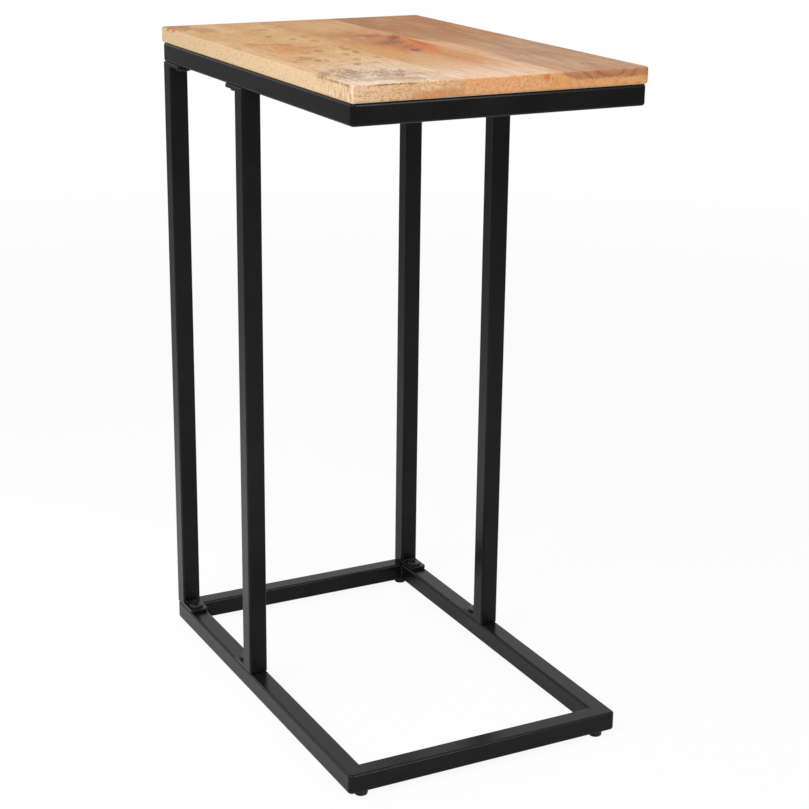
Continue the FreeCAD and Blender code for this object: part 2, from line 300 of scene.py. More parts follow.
def grain(recipe, plan, pith, askew, ring_width):
    """The masks that every board shares. pith is (x, z) at the front end; askew its drift per mm."""
    bent = wandering(recipe, plan, WANDER)
    across = bent.part("X") - bent.part("Y") * askew[0] - pith[0]
    deep = bent.part("Z") - bent.part("Y") * askew[1] - pith[1]
    radius = (across * across + deep * deep) ** 0.5
    angle = recipe.node("ShaderNodeMath", {"operation": "ARCTAN2"}, {0: deep, 1: across})
    ring = recipe.node(
        "ShaderNodeTexNoise", {"noise_dimensions": "1D"},
        {"W": radius / ring_width, "Scale": 1.0, "Detail": 3.0})
    ray_way = recipe.node("ShaderNodeCombineXYZ", {}, {
        "X": angle * 90.0, "Y": bent.part("Y") * 0.35, "Z": radius * 0.22})
    full, nothing = END_SKIN
    front_end = plan.part("Y").fall(full, nothing)
    rear_end = plan.part("Y").rise(TOP_LENGTH - nothing, TOP_LENGTH - full)
    return {
        "bent": bent,
        "ring": ring,
        "cloud": recipe.noise(recipe.stretched(bent, (30, 75, 30)), 3.0, 0.55),
        "streak": recipe.noise(recipe.stretched(bent, (5.5, 110, 5.5)), 4.0, 0.62),
        "fibre": recipe.noise(recipe.stretched(bent, (0.7, 20, 0.7)), 3.0, 0.6),
        "speckle": recipe.noise(recipe.stretched(bent, (2.0, 13, 2.0)), 5.0, 0.72),
        "ray": recipe.noise(ray_way, 2.0).rise(0.56, 0.72),
        "pore": dashes(recipe, bent, (1.3, 17, 1.3), 0.2, 0.75),
        "end": front_end + rear_end,
    }


def streaked(m):
    """Streaks with a share of the rings, the tone that most grain lines follow."""
    return m["streak"] * 0.7 + m["ring"] * 0.3


# %% A place on the upper face
ASLANT = -27    # degrees from the board's length at which most of its marks lie


def seen_from(recipe, plan, centre, turn, unit):
    """Coordinates from a point (x, y) of the upper face, turned by degrees and measured in that unit."""
    return recipe.node("ShaderNodeMapping", {"vector_type": "TEXTURE"}, {
        "Vector": plan, "Location": (*centre, TOP_THICKNESS),
        "Rotation": (0, 0, math.radians(turn)), "Scale": unit})


# %% A local mark in the wood
MARK_REACH = 3.0    # a mark's frayed edge is looked for within this many of its half sizes


def mark(recipe, plan, centre, size, turn=0.0, rag=0.8, soft=0.5, threads=(3.2, 0.8)):
    """A mask round a point (x, y) of the upper face, frayed along its own length.

    size holds its half width and half length in mm, turn its angle in degrees, rag how far the edge
    frays, soft how slowly it fades, and threads how many threads lie across and along it.
    """
    width, length = (v * MARK_REACH for v in size)
    local = seen_from(recipe, plan, centre, turn, (width, length, width * 0.8))
    nearness = recipe.node(
        "ShaderNodeTexGradient", {"gradient_type": "SPHERICAL"}, {"Vector": local}, "Fac")
    fray = recipe.node("ShaderNodeMapping", {}, {
        "Vector": local, "Location": (centre[0] * 0.37,) * 3,
        "Scale": tuple(MARK_REACH * t for t in (*threads, 2.0))})
    reach = (1 - nearness) * MARK_REACH + (0.5 - recipe.noise(fray, 4.0, 0.6)) * (2 * rag)
    return reach.fall(1 - soft, 1 + soft)


def blots(recipe, plan, marks, rag, soft, threads):
    """One mask for several marks: centre, size, strength, and a turn where it isn't ASLANT."""
    cover = None
    for centre, size, strength, *turn in marks:
        angle = turn[0] if turn else ASLANT
        one = mark(recipe, plan, centre, size, angle, rag, soft, threads) * strength
        cover = one if cover is None else cover.most(one)
    return cover


def swirl(recipe, plan, centre, size, turn, lines):
    """Fine lines that close round a point of the upper face, as grain does round a twig."""
    width, length = size
    local = seen_from(recipe, plan, centre, turn, (width, length, width))
    reach = local.length() + recipe.noise(recipe.stretched(local, (0.9, 1.3, 1.0)), 3.0) * 0.9
    rings = recipe.node(
        "ShaderNodeTexNoise", {"noise_dimensions": "1D"}, {"W": reach * lines, "Scale": 1.0, "Detail": 2.0})
    return rings.rise(0.5, 0.62) * reach.fall(1.3, 2.6)


# %% Rays on the ends, and a stain over what is there
RAY_LEAN = 28    # degrees


def slanted(recipe, plan):
    """Rays on an end: fine lines that lean to the right, as they do beside the pith."""
    local = recipe.node("ShaderNodeMapping", {"vector_type": "TEXTURE"}, {
        "Vector": plan, "Rotation": (0, math.radians(RAY_LEAN), 0), "Scale": (1.3, 30.0, 8.0)})
    return recipe.noise(local, 3.0, 0.6).rise(0.54, 0.66)


def stained(recipe, body, mask, share, colour):
    """The body's colour, stained by that share where the mask is 1."""
    return recipe.mix(mask * share, body, paint(*colour))


# %% Oil finish
WOOD_GLOSS = 0.2
PORE_DEPTH = 0.12 * MM


def oil(recipe, shader, colour, masks):
    """A thin oil that leaves the pores open: they are rougher, and lie a little below the surface."""
    rough = 0.56 + masks["pore"] * 0.15 + masks["fibre"] * 0.12
    height = masks["fibre"] * 0.5 + masks["streak"] * 0.3 - masks["pore"] * 0.9
    feed(recipe, shader, Base_Color=colour, Roughness=rough, Normal=bump(recipe, height, PORE_DEPTH, 0.6))


print("wood gloss level", WOOD_GLOSS)

# %% [markdown]
# ## Left board: golden sapwood with grey spalting
#
# Fungi that were in the log before it was sawn leave grey-brown clouds with ragged ends, which
# woodworkers call spalting; here they lie on the upper face at the front end. Brown specks and a
# reddish flame lie further back. Marks are placed one by one, because a board has its own, and each
# frays along its own length.


# %% Left board: its marks
SPALTING = (    # each mark's centre, half width and half length, strength, and turn if not ASLANT
    ((30, 64), (12, 28), 0.62), ((24, 30), (15, 11), 0.4), ((57, 57), (9, 22), 0.6),
    ((72, 50), (6, 20), 0.65), ((70, 18), (14, 7), 0.4), ((7, 70), (5, 16), 0.6),
    ((24, 88), (4, 11), 0.55), ((46, 30), (8, 12), 0.4), ((86, 44), (7, 6), 0.4),
)
BROWN_SPOTS = (
    ((37, 172), (8, 10), 0.6), ((43, 153), (7, 9), 0.75), ((28, 160), (6, 8), 0.5),
    ((12, 442), (13, 26), 0.65, -8), ((30, 410), (8, 20), 0.4, -10), ((64, 119), (3.4, 7), 0.75),
    ((70, 216), (4.5, 7), 0.75), ((84, 184), (3.6, 7), 0.75), ((104, 235), (3, 6), 0.6),
    ((101, 219), (4.5, 6), 0.7), ((104, 204), (3, 6), 0.7), ((99, 193), (3.4, 7), 0.7),
    ((103, 154), (3.4, 6), 0.6), ((83, 122), (6, 5), 0.45), ((103, 322), (4.5, 9), 0.45),
    ((84, 308), (4, 8), 0.6), ((98, 286), (4.5, 7), 0.6), ((86, 392), (8, 8), 0.5),
    ((70, 335), (3.4, 8), 0.6), ((17, 151), (3.4, 6), 0.5), ((78, 150), (4, 7), 0.5),
    ((52, 205), (4, 6), 0.45), ((58, 140), (5, 6), 0.4), ((46, 118), (4, 6), 0.4),
)
FLAME = (
    ((32, 281), (10, 9), 0.5), ((57, 270), (13, 8), 0.6), ((70, 242), (12, 8), 0.6),
    ((50, 240), (16, 26), 0.35, -20),
)
print("marks on the left board:", len(SPALTING) + len(BROWN_SPOTS) + len(FLAME))


# %% Left board: the ground
def left_ground(r, m):
    """Golden, with clouds, streaks and a fine mottle, and a painted reflection that makes the front pale.
    """
    # painted reflection: the pale front colour stands in for the sheen of light on the oiled top there
    body = r.mix(m["along"].rise(10.0, 190.0), paint(252, 230, 210), paint(221, 177, 124))
    body = stained(r, body, m["cloud"].rise(0.44, 0.66), 0.5, (208, 152, 84))
    body = stained(r, body, m["cloud"].fall(0.34, 0.48), 0.5, (234, 202, 156))
    tone = streaked(m)
    body = stained(r, body, tone.rise(0.48, 0.68), 0.35, (190, 136, 78))
    body = stained(r, body, tone.fall(0.3, 0.45), 0.4, (240, 208, 164))
    body = stained(r, body, m["mottle"].rise(0.52, 0.68), 0.5, (184, 126, 66))
    body = stained(r, body, m["mottle"].fall(0.32, 0.46), 0.4, (244, 218, 176))
    body = stained(r, body, m["fibre"].rise(0.45, 0.75), 0.2, (180, 128, 74))
    return body


# %% Left board: its long side and its ends
def left_side(r, m, body):
    """Paler than the top by painted light, flecked along the board, with an upright pattern near the front
    corner.
    """
    m["side"] = m["across"].fall(0.6, 2.6)
    # painted light: the side face is mixed towards a paler colour, as if the light from the left fell
    # brighter on it
    body = r.mix(m["side"] * 0.8, body, paint(236, 208, 166))
    flecks = r.noise(r.stretched(m["plan"], (30, 4.0, 2.2)), 5.0, 0.72)
    body = stained(r, body, m["side"] * flecks.rise(0.5, 0.64), 0.55, (210, 154, 100))
    body = stained(r, body, m["side"] * flecks.fall(0.34, 0.46), 0.5, (250, 232, 200))
    short = dashes(r, m["bent"], (4.0, 8, 2.6), 0.3, 0.8)
    body = stained(r, body, short * m["side"] * m["mottle"].rise(0.46, 0.6), 0.5, (182, 122, 70))
    m["corner"] = m["along"].fall(20.0, 95.0)
    upright = r.noise(r.stretched(m["plan"], (30, 1.9, 9)), 3.0, 0.6).rise(0.48, 0.62)
    body = stained(r, body, m["side"] * upright * m["corner"], 0.6, (172, 112, 62))
    return body


def left_ends(r, m, body):
    """End grain with arcs and rays, and dark marks along the worn upper edge."""
    body = stained(r, body, m["end"], 0.7, (234, 190, 142))
    body = stained(r, body, m["end"] * m["mottle"].rise(0.46, 0.6), 0.6, (190, 128, 76))
    arch = (m["height"] - m["cloud"] * 12.0).fall(-1.0, 4.0) * m["across"].rise(46.0, 70.0)
    arch = arch.most(m["across"].rise(88.0, 112.0) * 0.6)
    body = stained(r, body, m["end"] * arch, 0.75, (206, 134, 74))
    body = stained(r, body, m["end"] * m["ray"], 0.4, (250, 226, 188))
    arris = m["height"].rise(TOP_THICKNESS - 2.6, TOP_THICKNESS - 1.0) * m["mottle"].rise(0.4, 0.52)
    body = stained(r, body, arris * m["side"] * m["corner"], 0.75, (150, 98, 50))
    line = m["end"] * arris * m["across"].rise(16.0, 24.0) * m["across"].fall(56.0, 66.0)
    body = stained(r, body, line, 0.8, (146, 94, 44))
    return body


# %% Left board: its upper face
def left_upper_face(r, m, body):
    """Spalting, brown spots and a flame, which go only a few millimetres down."""
    upper = m["height"].rise(TOP_THICKNESS - 4.0, TOP_THICKNESS - 1.0)
    spots = r.noise(r.stretched(m["bent"], (5.0, 9, 5.0)), 6.0, 0.75)
    spalted = mark(r, m["plan"], (46, 44), (48, 44), ASLANT, 1.0, 0.5, (2.6, 2.0)) * upper
    body = stained(r, body, spalted * spots.rise(0.48, 0.6), 0.35, (156, 120, 100))
    stain = blots(r, m["plan"], SPALTING, 1.7, 0.5, (3.0, 2.4))
    body = stained(r, body, stain * upper * spots.rise(0.34, 0.5), 1.0, (126, 92, 76))
    brown_spots = blots(r, m["plan"], BROWN_SPOTS, 2.2, 0.35, (3.4, 2.6))
    body = stained(r, body, brown_spots * upper * spots.rise(0.38, 0.5), 1.0, (156, 86, 30))
    flame = blots(r, m["plan"], FLAME, 2.0, 0.6, (3.2, 2.6))
    return stained(r, body, flame * upper, 1.0, (196, 98, 34))


def left_specks(r, m, body):
    """Coarse and fine specks, which crowd together in the middle of the board."""
    specked = m["across"].rise(16.0, 60.0) * m["along"].rise(70.0, 150.0) * m["along"].fall(330.0, 430.0)
    specks = dashes(r, m["bent"], (5.0, 8.5, 5.0), 0.26, 0.5)
    body = stained(r, body, specks * (specked * 0.7 + 0.15), 0.8, (150, 92, 36))
    fine_specks = dashes(r, m["bent"], (2.6, 5.0, 2.6), 0.26, 0.5)
    fine_specks = fine_specks * (specked * 0.6 + 0.35) * (1 - m["side"] * 0.8)
    body = stained(r, body, fine_specks, 0.65, (160, 100, 42))
    return body


# %% Left board
def left_board():
    material, r, shader = new_finish("mango_sapwood", Specular_IOR_Level=WOOD_GLOSS)
    plan = plan_of(r)
    m = grain(r, plan, pith=(48.0, -46.0), askew=(0.06, -0.01), ring_width=5.5)
    m.update(plan=plan, along=plan.part("Y"), across=plan.part("X"), height=plan.part("Z"))
    m["mottle"] = r.noise(r.stretched(m["bent"], (3.4, 6.5, 3.0)), 5.0, 0.68)
    body = left_ground(r, m)
    body = left_side(r, m, body)
    body = left_ends(r, m, body)
    body = left_upper_face(r, m, body)
    body = left_specks(r, m, body)
    body = stained(r, body, m["pore"], 0.35, (160, 110, 60))
    body = stained(r, body, m["ray"], 0.12, (178, 126, 76))
    oil(r, shader, body, m)
    return material


dress(["board_left"], left_board())

# %% [markdown]
# ## Middle board: beige wood round a red knot
#
# A branch grew close to this board. The wood beside it is brown, then red, and an orange flame trails
# from it towards the front. The marks are larger than on the left board and overlap, so that one
# colour bleeds into the next, and near the knot the threads run aslant.


# %% Middle board: its marks
KNOT_MARKS = (    # the centre, half width and half length, turn, strength, rag and colour of each mark
    ((158, 400), (36, 44), 0, 0.45, 0.8, (224, 180, 132)),
    ((146, 318), (28, 26), -8, 0.6, 1.0, (176, 114, 64)),
    ((156, 256), (28, 46), -16, 0.7, 1.0, (178, 108, 66)),
    ((132, 215), (20, 60), -4, 0.45, 1.0, (212, 146, 76)),
    ((186, 236), (13, 52), -10, 0.6, 1.2, (214, 128, 62)),
    ((172, 215), (20, 46), -20, 0.45, 1.3, (212, 126, 62)),
    ((164, 303), (15, 6), ASLANT, 0.65, 1.5, (158, 72, 36)),
    ((178, 308), (8, 5), ASLANT, 0.45, 1.5, (158, 72, 36)),
    ((174, 130), (16, 60), 3, 0.4, 1.2, (206, 132, 80)),
    ((180, 212), (10, 24), -14, 0.5, 1.6, (208, 98, 36)),
    ((174, 176), (7, 18), -18, 0.4, 1.6, (206, 100, 46)),
    ((160, 222), (20, 40), -20, 0.3, 1.2, (196, 112, 58)),
    ((190, 238), (3, 26), -8, 0.6, 1.3, (170, 74, 30)),
    ((170, 252), (8, 17), ASLANT, 0.55, 2.0, (118, 70, 44)),
    ((152, 243), (8, 13), ASLANT, 0.5, 2.0, (132, 88, 60)),
    ((164, 214), (6, 14), ASLANT, 0.5, 1.8, (142, 74, 40)),
    ((161, 188), (5.5, 12), ASLANT, 0.75, 1.5, (128, 44, 22)),
    ((150, 196), (4, 8), ASLANT, 0.4, 1.5, (160, 90, 50)),
    ((186, 284), (6.0, 15), ASLANT, 0.75, 1.3, (146, 50, 22)),
    ((182, 276), (3, 10), -28, 0.5, 1.5, (110, 52, 32)),
    ((172, 126), (3.2, 34), 0, 0.45, 1.6, (208, 104, 56)),
    ((174, 82), (2.6, 20), 2, 0.3, 1.6, (214, 122, 76)),
)
SWIRLS = (    # the centre, half width and half length, number of lines, strength and colour of each
    ((169, 251), (8, 16), 9.0, 0.65, (92, 54, 36)),
    ((186, 284), (6, 13), 7.0, 0.4, (112, 44, 24)),
    ((161, 190), (7, 15), 6.0, 0.35, (124, 56, 32)),
)
print("marks on the middle board:", len(KNOT_MARKS) + len(SWIRLS))


# %% Middle board: the ground and the end
def middle_ground(r, m, plan):
    """Beige, with clouds, streaks and speckles, and a painted reflection that makes the front pale."""
    # painted reflection: the pale front stands in for the sheen of light on the oiled top there
    front = plan.part("Y").fall(10.0, 130.0)
    body = r.mix(front, paint(213, 162, 110), paint(247, 214, 186))
    body = stained(r, body, m["cloud"].rise(0.44, 0.66), 0.4, (202, 140, 76))
    body = stained(r, body, m["cloud"].fall(0.34, 0.48), 0.4, (228, 186, 138))
    tone = streaked(m)
    body = stained(r, body, tone.rise(0.48, 0.68), 0.35, (186, 122, 66))
    body = stained(r, body, m["speckle"].rise(0.5, 0.68), 0.3, (180, 114, 62))
    body = stained(r, body, m["speckle"].fall(0.34, 0.48), 0.3, (234, 192, 144))
    body = stained(r, body, m["fibre"].rise(0.45, 0.75), 0.2, (176, 114, 62))
    return body


def middle_end(r, m, plan, body):
    """Mottled end grain with slanted rays, and a red spot at the upper right corner."""
    body = stained(r, body, m["end"], 0.85, (233, 168, 108))
    mottled = r.noise(r.stretched(plan, (3.2, 3.5, 2.2)), 4.0, 0.7)
    body = stained(r, body, m["end"] * mottled.rise(0.5, 0.64), 0.6, (204, 124, 66))
    body = stained(r, body, m["end"] * mottled.fall(0.34, 0.48), 0.6, (250, 200, 146))
    body = stained(r, body, m["end"] * slanted(r, plan), 0.4, (184, 104, 48))
    red_spot = m["end"] * plan.part("X").rise(186.0, 194.0) * plan.part("Z").rise(8.0, 12.0)
    body = stained(r, body, red_spot, 0.6, (206, 92, 38))
    return body


# %% Middle board
def middle_board():
    material, r, shader = new_finish("mango_knot", Specular_IOR_Level=WOOD_GLOSS)
    plan = plan_of(r)
    m = grain(r, plan, pith=(182.0, 44.0), askew=(-0.02, 0.01), ring_width=4.2)
    body = middle_ground(r, m, plan)
    for centre, size, turn, share, rag, colour in KNOT_MARKS:
        body = stained(r, body, mark(r, plan, centre, size, turn, rag, 0.6), share, colour)
    for centre, size, lines, share, colour in SWIRLS:
        body = stained(r, body, swirl(r, plan, centre, size, ASLANT, lines), share, colour)
    body = middle_end(r, m, plan, body)
    body = stained(r, body, dashes(r, m["bent"], (7, 26, 7), 0.2, 0.3), 0.4, (148, 92, 48))
    body = stained(r, body, m["pore"], 0.36, (148, 94, 52))
    body = stained(r, body, m["ray"], 0.2, (164, 104, 58))
    oil(r, shader, body, m)
    return material


dress(["board_middle"], middle_board())

# %% [markdown]
# ## Right board: brown heartwood with a sapwood edge
#
# This board was cut where heartwood meets sapwood. The border is a curved surface through the board:
# on the top it leaves a pale strip beside the glue line, which ends halfway back, and on the front end
# it runs down and then along the middle of the thickness.


# %% Right board: where heartwood meets sapwood
def border_of(r, m, plan, along, frayed):
    """1 in the brown heartwood and 0 in the pale sapwood."""
    jagged = r.noise(r.stretched(m["bent"], (1.3, 60, 9.0)), 4.0, 0.75)
    joint = (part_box("board_right")[0].x - top_low.x) / MM
    from_joint = plan.part("X") - joint
    strip = 13.0 + along.rise(100.0, 200.0) * 10.0 - along.rise(180.0, 320.0) * 44.0
    border = from_joint - strip + (frayed - 0.5) * 30.0
    under = plan.part("Z") - 8.5 + along * 0.03 + (jagged - 0.5) * 11.0
    under = under - from_joint.fall(10.0, 34.0) * 5.0
    return border.rise(-4.0, 4.0 + along.rise(60.0, 260.0) * 14.0) * under.rise(-0.8, 0.8)


# %% Right board: the two woods
def brown_heart(r, m, plan, along):
    """Brown wood with clouds, streaks and speckles, darker at the rear; its paler front is a painted
    reflection.
    """
    # painted reflection: paler towards the front, standing in for the sheen of light on the oiled top
    brown = r.mix(along.rise(150.0, 330.0), paint(199, 158, 126), paint(185, 127, 80))
    brown = stained(r, brown, m["cloud"].rise(0.44, 0.66), 0.45, (174, 120, 80))
    brown = stained(r, brown, m["cloud"].fall(0.34, 0.48), 0.5, (208, 164, 122))
    dark_rear = mark(r, plan, (208, 415), (26, 60), -6, 0.9, 0.6)
    brown = stained(r, brown, dark_rear, 0.55, (152, 96, 62))
    tone = streaked(m)
    m["tone"] = tone
    brown = stained(r, brown, tone.rise(0.46, 0.68), 0.45, (150, 98, 62))
    brown = stained(r, brown, tone.fall(0.3, 0.45), 0.4, (212, 164, 122))
    brown = stained(r, brown, m["speckle"].rise(0.5, 0.68), 0.4, (146, 94, 60))
    brown = stained(r, brown, m["speckle"].fall(0.34, 0.48), 0.3, (214, 168, 128))
    return brown


def pale_edge(r, m, plan, along, frayed):
    """Pale wood with orange streaks, paler at the front by a painted reflection, and with slanted rays on
    the ends.
    """
    # painted reflection: paler towards the front, standing in for the sheen of light on the oiled top
    pale = r.mix(along.rise(10.0, 200.0), paint(240, 198, 166), paint(228, 178, 132))
    pale = stained(r, pale, m["tone"].rise(0.46, 0.68), 0.6, (212, 152, 98))
    pale = stained(r, pale, m["speckle"].rise(0.5, 0.68), 0.35, (206, 142, 86))
    pale = stained(r, pale, m["end"], 0.85, (234, 168, 102))
    pale = stained(r, pale, m["end"] * frayed.rise(0.5, 0.6), 0.5, (212, 134, 70))
    pale = stained(r, pale, m["end"] * slanted(r, plan), 0.35, (186, 114, 54))
    return pale


# %% Right board
def right_board():
    material, r, shader = new_finish("mango_heartwood", Specular_IOR_Level=WOOD_GLOSS)
    plan = plan_of(r)
    m = grain(r, plan, pith=(262.0, 62.0), askew=(0.05, 0.02), ring_width=3.6)
    frayed = r.noise(r.stretched(m["bent"], (5, 45, 5)), 5.0, 0.65)
    along = plan.part("Y")
    heart = border_of(r, m, plan, along, frayed)
    brown = brown_heart(r, m, plan, along)
    pale = pale_edge(r, m, plan, along, frayed)
    body = r.mix(heart, pale, brown)
    body = stained(r, body, m["end"] * heart, 0.6, (190, 120, 76))
    body = stained(r, body, m["end"] * heart * m["ring"].rise(0.5, 0.62), 0.5, (156, 92, 56))
    body = stained(r, body, m["end"] * heart * m["ray"], 0.5, (214, 150, 104))
    body = stained(r, body, m["fibre"].rise(0.45, 0.75), 0.32, (144, 94, 58))
    body = stained(r, body, dashes(r, m["bent"], (8, 30, 8), 0.2, 0.3), 0.4, (124, 76, 46))
    body = stained(r, body, m["pore"], 0.55, (118, 74, 46))
    body = stained(r, body, m["ray"], 0.18, (200, 150, 106))
    oil(r, shader, body, m)
    return material


dress(["board_right"], right_board())

# %% [markdown]
# ## Black powder coat
#
# The tubes, the tabs and the welds were sprayed together with black powder and baked. The coat is
# satin, and a little uneven like the skin of an orange. A bump too small to see as a shape spreads the
# light on it, and a slow cloud in its roughness keeps long tubes from looking drawn with a ruler.

# %% Powder coat
PAINTED = (
    "base_rail", "top_rail", "leg_front", "leg_rear", "lower_plate", "upper_plate", "fixing_plate")


def powder_coat():
    material, r, shader = new_finish("black_powder_coat", Specular_IOR_Level=0.17)
    place = r.place()
    peel = r.noise(r.stretched(place, (1.1 * MM,) * 3), 2.0)
    cloud = r.noise(r.stretched(place, (38 * MM,) * 3), 3.0, 0.6)
    colour = r.mix(cloud.rise(0.3, 0.7), paint(14, 13, 13), paint(19, 18, 18))
    rough = 0.2 + cloud * 0.07 + peel * 0.03
    feed(r, shader, Base_Color=colour, Roughness=rough, Normal=bump(r, peel, 0.05 * MM, 0.5))
    return material


coat = powder_coat()
dress([name for name in nodes if name.startswith(PAINTED)], coat)

# %% [markdown]
# ## Hardware: black bolts, bright zinc and moulded feet
#
# The leg bolts are blackened steel, a little smoother than the paint. Nuts, screws and the studs of the
# feet are zinc plated: a metal whose crystals catch the light in patches. The pads are moulded plastic
# with a fine matt grain.


# %% Finishes of the hardware
def blackened_steel():
    material, r, shader = new_finish("blackened_steel", Metallic=0.7, Specular_IOR_Level=0.4)
    cloud = r.noise(r.stretched(r.place(), (2.5 * MM,) * 3), 4.0, 0.6)
    colour = r.mix(cloud, paint(30, 30, 32), paint(58, 58, 62))
    rough = 0.24 + cloud * 0.18
    feed(r, shader, Base_Color=colour, Roughness=rough, Normal=bump(r, cloud, 0.03 * MM, 0.4))
    return material


def bright_zinc():
    material, r, shader = new_finish("bright_zinc", Metallic=1.0)
    place = r.place()
    crystals = r.node("ShaderNodeTexVoronoi", {}, {
        "Vector": r.stretched(place, (0.8 * MM,) * 3), "Scale": 1.0}).also("Color").part("X")
    tarnish = r.noise(r.stretched(place, (3 * MM,) * 3), 4.0, 0.6)
    colour = r.mix(crystals * 0.35 + tarnish * 0.5, paint(206, 208, 212), paint(158, 160, 160))
    rough = 0.24 + crystals * 0.1 + tarnish * 0.16
    feed(r, shader, Base_Color=colour, Roughness=rough, Normal=bump(r, tarnish, 0.02 * MM, 0.4))
    return material


def moulded_plastic():
    material, r, shader = new_finish("foot_plastic", Specular_IOR_Level=0.35)
    place = r.place()
    matt = r.noise(r.stretched(place, (0.35 * MM,) * 3), 2.0)
    scuff = r.noise(r.stretched(place, (4 * MM, 4 * MM, 1 * MM)), 4.0, 0.65)
    colour = r.mix(scuff.rise(0.45, 0.75), paint(20, 20, 21), paint(38, 38, 38))
    rough = 0.42 + scuff * 0.22
    feed(r, shader, Base_Color=colour, Roughness=rough, Normal=bump(r, matt, 0.05 * MM, 0.5))
    return material


zinc = bright_zinc()
dress(["leg_bolts_lower", "leg_bolts_upper"], blackened_steel())
dress(["leg_nuts_lower", "leg_nuts_upper", "foot_nuts", "top_screws"], zinc)
dress([name for name in nodes if name.startswith("foot_pad")], moulded_plastic())

# %% [markdown]
# ## Helpers for Geometry Nodes
#
# Two kinds of piece repeat a small shape along a line: weld beads, whose ripples follow one another
# like laid coins, and screw threads. Geometry Nodes make both. The tree is built here, its sizes are
# inputs with names, and the result is turned into a plain mesh before the piece is handed over.

# %% New tree, and the mesh that it makes
SOCKETS = {float: "NodeSocketFloat", int: "NodeSocketInt"}


def new_tree(name, **sizes):
    """A Geometry Nodes tree with a geometry, a material and those sizes as its inputs."""
    tree = bpy.data.node_groups.new(name, "GeometryNodeTree")
    tree.interface.new_socket("Geometry", in_out="OUTPUT", socket_type="NodeSocketGeometry")
    tree.interface.new_socket("Geometry", in_out="INPUT", socket_type="NodeSocketGeometry")
    tree.interface.new_socket("Material", in_out="INPUT", socket_type="NodeSocketMaterial")
    for size, value in sizes.items():
        socket = tree.interface.new_socket(size, in_out="INPUT", socket_type=SOCKETS[type(value)])
        socket.default_value = value
    recipe = Recipe(tree)
    return tree, recipe, recipe.node("NodeGroupInput", {}, {})


def end_tree(recipe, shape, material):
    """Ends a tree: real geometry, smooth, with its material."""
    shape = recipe.node("GeometryNodeSetShadeSmooth", {}, {"Geometry": shape})
    shape = recipe.node("GeometryNodeRealizeInstances", {}, {"Geometry": shape})
    shape = recipe.node("GeometryNodeSetMaterial", {}, {"Geometry": shape, "Material": material})
    recipe.node("NodeGroupOutput", {}, {"Geometry": shape})


def grown(name, mesh, tree, **inputs):
    """The plain mesh object that a tree grows from a mesh."""
    seed = bpy.data.objects.new(name + "_seed", mesh)
    bpy.context.scene.collection.objects.link(seed)
    modifier = seed.modifiers.new("growth", "NODES")
    modifier.node_group = tree
    for item in tree.interface.items_tree:
        if item.in_out == "INPUT" and item.name in inputs:
            modifier[item.identifier] = inputs[item.name]
    seen = seed.evaluated_get(bpy.context.evaluated_depsgraph_get())
    plain = bpy.data.meshes.new_from_object(seen)
    plain.name = name
    bpy.data.objects.remove(seed)
    piece = bpy.data.objects.new(name, plain)
    bpy.context.scene.collection.objects.link(piece)
    print(f"{name}: {len(plain.polygons)} faces")
    return piece


# %% [markdown]
# ## Weld beads
#
# The frame is welded where tube meets tube. On the outside the welds are ground flush before painting;
# in the inner corners they stay as they were laid, a bead whose ripples show where the pool stopped
# and moved on. A swept circle that swells and shrinks along its path gives that, with a little noise
# so that no two ripples are the same.


# %% The tree of a bead
BEAD_SIDES = 12
STEPS_PER_RIPPLE = 5
WOBBLE_LENGTH = 2.2 * MM


def bead_tree():
    """A bead along each edge of a mesh. Width is its radius, and Pitch the length of a ripple."""
    tree, r, given = new_tree("weld_bead", Width=1.9 * MM, Pitch=1.15 * MM, Ripple=0.16, Seed=3.0)
    curve = r.node("GeometryNodeMeshToCurve", {}, {"Mesh": given.also("Geometry")})
    curve = r.node("GeometryNodeResampleCurve", {"mode": "LENGTH"}, {
        "Curve": curve, "Length": given.also("Pitch") * (1 / STEPS_PER_RIPPLE)})
    length = r.node("GeometryNodeSplineParameter", {}, {}, "Length")
    turns = length / given.also("Pitch")
    steps = r.node("ShaderNodeMath", {"operation": "FRACT"}, {0: turns})
    place = r.node("GeometryNodeInputPosition", {}, {})
    wobble = r.noise(place / WOBBLE_LENGTH + given.also("Seed"), 2.0)
    share = length.also("Factor")
    ends = share.rise(0.0, 0.1) * share.fall(0.9, 1.0)
    swell = 1 - given.also("Ripple") * steps ** 1.6 + (wobble - 0.5) * 0.35
    profile = r.node("GeometryNodeCurvePrimitiveCircle", {"mode": "RADIUS"}, {
        "Resolution": BEAD_SIDES, "Radius": given.also("Width")})
    bead = r.node("GeometryNodeCurveToMesh", {}, {
        "Curve": curve, "Profile Curve": profile, "Scale": swell * (ends * 0.5 + 0.5),
        "Fill Caps": True})
    end_tree(r, bead, given.also("Material"))
    return tree


bead = bead_tree()
print("a bead's tree has", len(bead.nodes), "nodes")


# %% Where the beads lie
SHORT_OF_CORNER = 2 * MM     # a leg's bead stops before the leg's rounded edges
HALF_PLATE_BEAD = 10 * MM


def seams(*lines):
    """A mesh of loose edges, one for each pair of points."""
    mesh = bpy.data.meshes.new("seams")
    points = [p for line in lines for p in line]
    mesh.from_pydata(points, [(2 * i, 2 * i + 1) for i in range(len(lines))], [])
    return mesh


def frame_corners(part):
    """The four upright inner corners of the base or top frame."""
    side = {x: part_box(f"{part}_rail_{x}") for x in ("left", "right", "front", "rear")}
    xs = (side["left"][1].x, side["right"][0].x)
    ys = (side["front"][1].y, side["rear"][0].y)
    low, high = side["front"][0].z + TUBE_EDGE, side["front"][1].z - TUBE_EDGE
    return [((x, y, low), (x, y, high)) for x in xs for y in ys]


def leg_ends():
    """Where each leg's inner face stands on its end plates, along X."""
    lines = []
    for row, inner in (("front", 1), ("rear", 0)):
        for side in ("left", "right"):
            low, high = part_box(f"leg_{row}_{side}")
            y = (low, high)[inner].y
            start, stop = low.x + SHORT_OF_CORNER, high.x - SHORT_OF_CORNER
            lines += [((start, y, z), (stop, y, z)) for z in (low.z, high.z)]
    return lines


